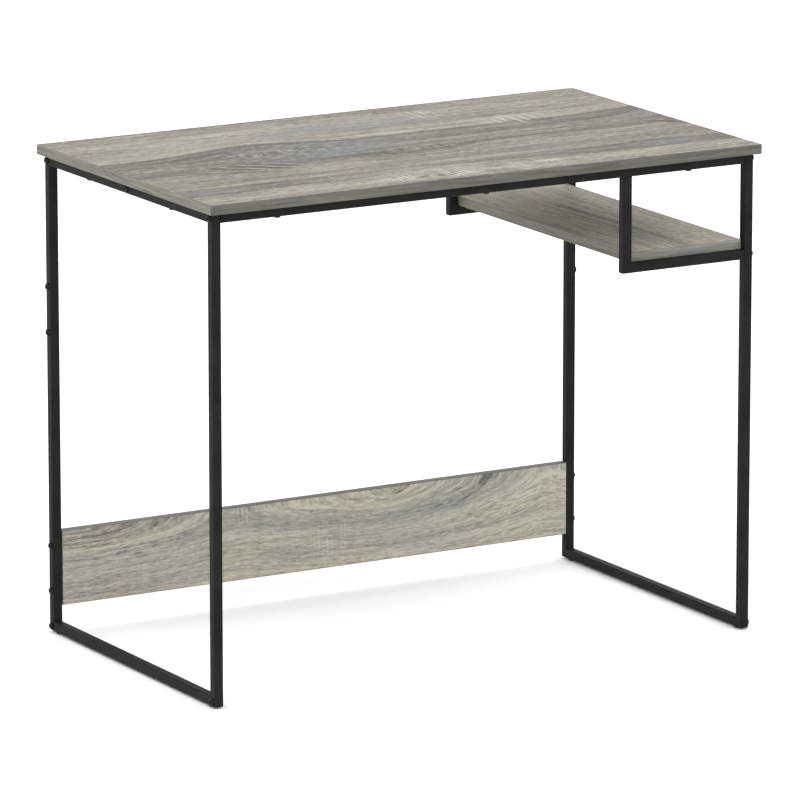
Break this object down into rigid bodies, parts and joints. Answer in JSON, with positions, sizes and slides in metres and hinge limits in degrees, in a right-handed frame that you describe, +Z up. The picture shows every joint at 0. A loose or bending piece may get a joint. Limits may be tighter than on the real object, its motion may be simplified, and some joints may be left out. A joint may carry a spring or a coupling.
{
  "type": "computer desk",
  "caption": "Desk with a slim square-tube sled frame, a wood-grain laminate top, a low back panel between the rear legs and an open shelf hung under the right end of the top.",
  "frame": {"origin": "on the floor, at the middle of the footprint", "axes": "+Z up, front of the desk towards -Y, the side shelf towards +X"},
  "size_m": [0.95, 0.55, 0.76],
  "materials": {
    "board_laminate": "matt grey-oak wood-grain laminate on chipboard",
    "edge_band": "matt grey-oak wood-grain edge band",
    "frame_paint": "fine matt black powder coat on square steel tube",
    "black_bolt": "satin black button-head bolts",
    "black_screw": "satin black pan-head wood screws",
    "zinc_steel": "zinc-plated steel, hidden inside the tubes and the panel",
    "glide_plastic": "matt black moulded plastic"
  },
  "bodies": {
    "root": {"desktop": "board_laminate", "desktop_long_bands": "edge_band", "desktop_short_bands": "edge_band", "shelf": "board_laminate", "shelf_long_bands": "edge_band", "shelf_short_bands": "edge_band", "back_panel": "board_laminate", "panel_long_bands": "edge_band", "panel_short_bands": "edge_band", "left_front_leg": "frame_paint", "left_rear_leg": "frame_paint", "left_side_rail": "frame_paint", "left_runner": "frame_paint", "right_front_leg": "frame_paint", "right_rear_leg": "frame_paint", "right_side_rail": "frame_paint", "right_runner": "frame_paint", "front_rail": "frame_paint", "centre_rail": "frame_paint", "rear_rail": "frame_paint", "front_drop_tube": "frame_paint", "front_shelf_arm": "frame_paint", "front_shelf_lugs": "frame_paint", "rear_drop_tube": "frame_paint", "rear_shelf_arm": "frame_paint", "rear_shelf_lugs": "frame_paint", "front_rail_plugs": "zinc_steel", "centre_rail_plugs": "zinc_steel", "rear_rail_plugs": "zinc_steel", "shelf_arm_plugs": "zinc_steel", "left_front_connector": "zinc_steel", "left_rear_connector": "zinc_steel", "right_front_connector": "zinc_steel", "right_rear_connector": "zinc_steel", "left_panel_inserts": "zinc_steel", "right_panel_inserts": "zinc_steel", "left_rivet_nuts": "zinc_steel", "right_rivet_nuts": "zinc_steel", "left_frame_bolts": "black_bolt", "right_frame_bolts": "black_bolt", "shelf_arm_bolts": "black_bolt", "left_corner_bolts": "black_bolt", "right_corner_bolts": "black_bolt", "left_panel_bolts": "black_bolt", "right_panel_bolts": "black_bolt", "left_spare_bolts": "black_bolt", "right_spare_bolts": "black_bolt", "front_rail_screws": "black_screw", "rear_rail_screws": "black_screw", "left_rail_screws": "black_screw", "right_rail_screws": "black_screw", "front_shelf_screws": "black_screw", "rear_shelf_screws": "black_screw", "left_front_glide": "glide_plastic", "left_rear_glide": "glide_plastic", "right_front_glide": "glide_plastic", "right_rear_glide": "glide_plastic"}
  },
  "joints": []
}
